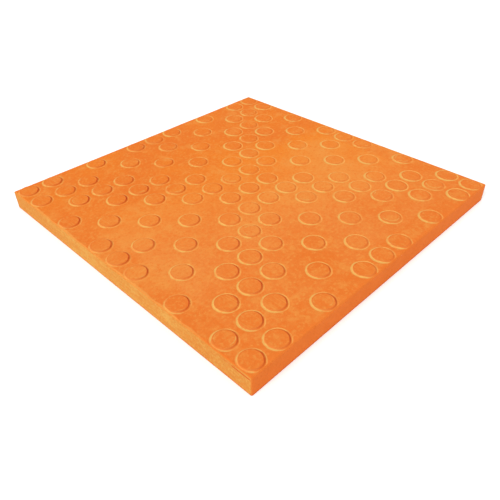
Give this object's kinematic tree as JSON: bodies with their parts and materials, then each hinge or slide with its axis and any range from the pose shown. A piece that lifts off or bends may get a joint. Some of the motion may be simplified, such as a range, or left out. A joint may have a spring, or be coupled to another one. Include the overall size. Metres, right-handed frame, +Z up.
{
  "type": "studded terracotta paving tile",
  "caption": "Square paving tile of fired orange clay with a field of low round flat-topped studs on its walking face, for slip-resistant paths, yards and ramps.",
  "frame": {"origin": "middle of the bed face, so the tile lies on Z = 0", "axes": "+Z up through the studs, X and Y along the sides; the corner where the -X and -Y sides meet is the near corner in the picture"},
  "size_m": [0.3, 0.3, 0.0175],
  "materials": {
    "terracotta": "matte"
  },
  "bodies": {
    "root": {"paving_tile": "terracotta"}
  },
  "joints": []
}
